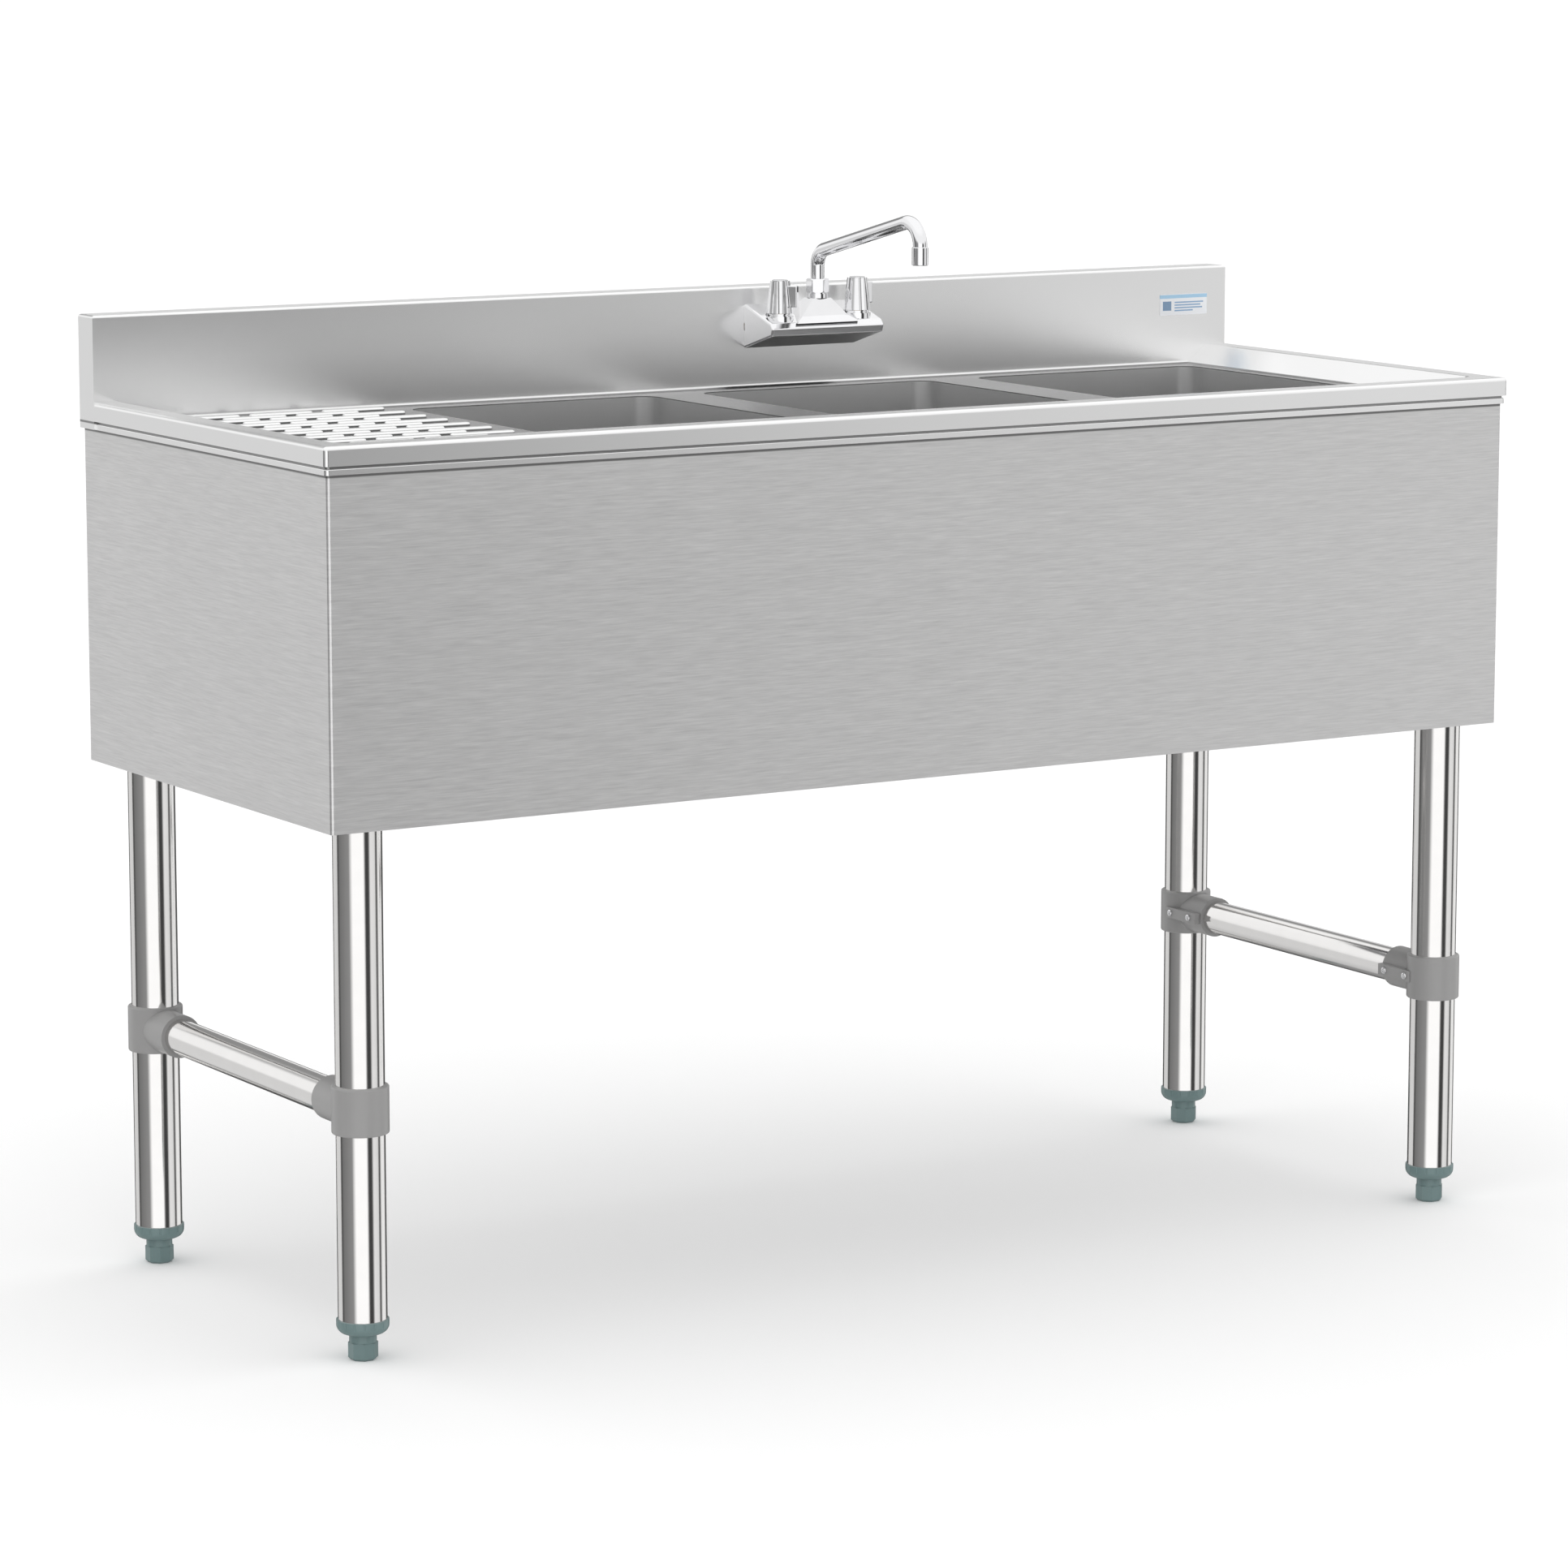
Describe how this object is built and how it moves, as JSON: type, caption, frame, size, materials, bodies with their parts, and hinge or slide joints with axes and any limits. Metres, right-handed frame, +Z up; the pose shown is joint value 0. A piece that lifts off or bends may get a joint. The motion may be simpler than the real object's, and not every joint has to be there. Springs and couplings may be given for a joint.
{
  "type": "three compartment sink",
  "caption": "Free-standing stainless bar sink with three bowls in a row, a ribbed drainboard, a low splash, a swivel faucet and tubular legs.",
  "frame": {"origin": "on the floor under the middle of the sink's top", "axes": "+X to the right along the front, +Y to the wall behind the splash, +Z up"},
  "size_m": [1.2192, 0.479, 0.9301],
  "materials": {
    "top_steel": "satin stainless, soft reflections",
    "bowl_steel": "satin stainless",
    "skirt_steel": "brushed stainless, grain along the length",
    "frame_steel": "mill stainless",
    "tube_steel": "polished stainless tube",
    "screw_steel": "bright plated",
    "drain_steel": "polished stainless",
    "chrome": "bright chrome plate",
    "cap_steel": "satin chrome",
    "brass": "machined",
    "rubber": "black sealing rubber",
    "foot_plastic": "blue-grey moulded plastic",
    "tee_plastic": "mid-grey moulded nylon",
    "label": "printed vinyl, no lettering"
  },
  "bodies": {
    "sink": {"deck_top": "top_steel", "bowl_left": "bowl_steel", "bowl_centre": "bowl_steel", "bowl_right": "bowl_steel", "skirt_front": "skirt_steel", "skirt_left": "skirt_steel", "skirt_right": "skirt_steel", "leg_channel_left": "frame_steel", "leg_channel_right": "frame_steel", "rear_brace": "frame_steel", "leg_sockets_left": "frame_steel", "leg_sockets_right": "frame_steel", "rail_left": "tube_steel", "rail_right": "tube_steel", "clamp_screws": "screw_steel", "drain_gaskets": "rubber", "drain_locknuts": "brass", "coupling_nuts": "chrome", "faucet_body": "chrome", "spout_nut": "chrome", "valve_bonnets": "chrome", "shank_nuts": "brass", "rating_label": "label", "leg_front_left": "tube_steel", "foot_cup_front_left": "foot_plastic", "tee_front_left": "tee_plastic", "clamp_plate_front_left": "tee_plastic", "leg_front_right": "tube_steel", "foot_cup_front_right": "foot_plastic", "tee_front_right": "tee_plastic", "clamp_plate_front_right": "tee_plastic", "leg_rear_left": "tube_steel", "foot_cup_rear_left": "foot_plastic", "tee_rear_left": "tee_plastic", "clamp_plate_rear_left": "tee_plastic", "leg_rear_right": "tube_steel", "foot_cup_rear_right": "foot_plastic", "tee_rear_right": "tee_plastic", "clamp_plate_rear_right": "tee_plastic", "drain_cup_left": "drain_steel", "tailpiece_left": "chrome", "drain_cup_centre": "drain_steel", "tailpiece_centre": "chrome", "drain_cup_right": "drain_steel", "tailpiece_right": "chrome"},
    "spout_arm": {"spout": "chrome", "aerator": "chrome"},
    "left_handle": {"handle_left": "chrome", "index_cap_left": "cap_steel", "valve_stem_left": "brass"},
    "right_handle": {"handle_right": "chrome", "index_cap_right": "cap_steel", "valve_stem_right": "brass"},
    "left_strainer": {"strainer_left": "drain_steel"},
    "centre_strainer": {"strainer_centre": "drain_steel"},
    "right_strainer": {"strainer_right": "drain_steel"},
    "foot_front_left_body": {"foot_front_left": "foot_plastic"},
    "foot_front_right_body": {"foot_front_right": "foot_plastic"},
    "foot_rear_left_body": {"foot_rear_left": "foot_plastic"},
    "foot_rear_right_body": {"foot_rear_right": "foot_plastic"}
  },
  "joints": [
    {"name": "spout_swivel", "type": "hinge", "parent": "sink", "child": "spout_arm", "pos_m": [0.1186, 0.178, 0.858], "axis": [0, 0, 1], "continuous": true},
    {"name": "left_handle_turn", "type": "hinge", "parent": "sink", "child": "left_handle", "pos_m": [0.0761, 0.176, 0.832], "axis": [0, 0, 1], "range_deg": [0, 90]},
    {"name": "right_handle_turn", "type": "hinge", "parent": "sink", "child": "right_handle", "pos_m": [0.1611, 0.176, 0.832], "axis": [0, 0, 1], "range_deg": [-90, 0]},
    {"name": "left_strainer_lift", "type": "slide", "parent": "sink", "child": "left_strainer", "axis": [0, 0, 1], "range_m": [0, 0.3]},
    {"name": "centre_strainer_lift", "type": "slide", "parent": "sink", "child": "centre_strainer", "axis": [0, 0, 1], "range_m": [0, 0.3]},
    {"name": "right_strainer_lift", "type": "slide", "parent": "sink", "child": "right_strainer", "axis": [0, 0, 1], "range_m": [0, 0.3]},
    {"name": "front_left_foot_adjust", "type": "slide", "parent": "sink", "child": "foot_front_left_body", "axis": [0, 0, -1], "range_m": [-0.007, 0.025]},
    {"name": "front_right_foot_adjust", "type": "slide", "parent": "sink", "child": "foot_front_right_body", "axis": [0, 0, -1], "range_m": [-0.007, 0.025]},
    {"name": "rear_left_foot_adjust", "type": "slide", "parent": "sink", "child": "foot_rear_left_body", "axis": [0, 0, -1], "range_m": [-0.007, 0.025]},
    {"name": "rear_right_foot_adjust", "type": "slide", "parent": "sink", "child": "foot_rear_right_body", "axis": [0, 0, -1], "range_m": [-0.007, 0.025]}
  ]
}
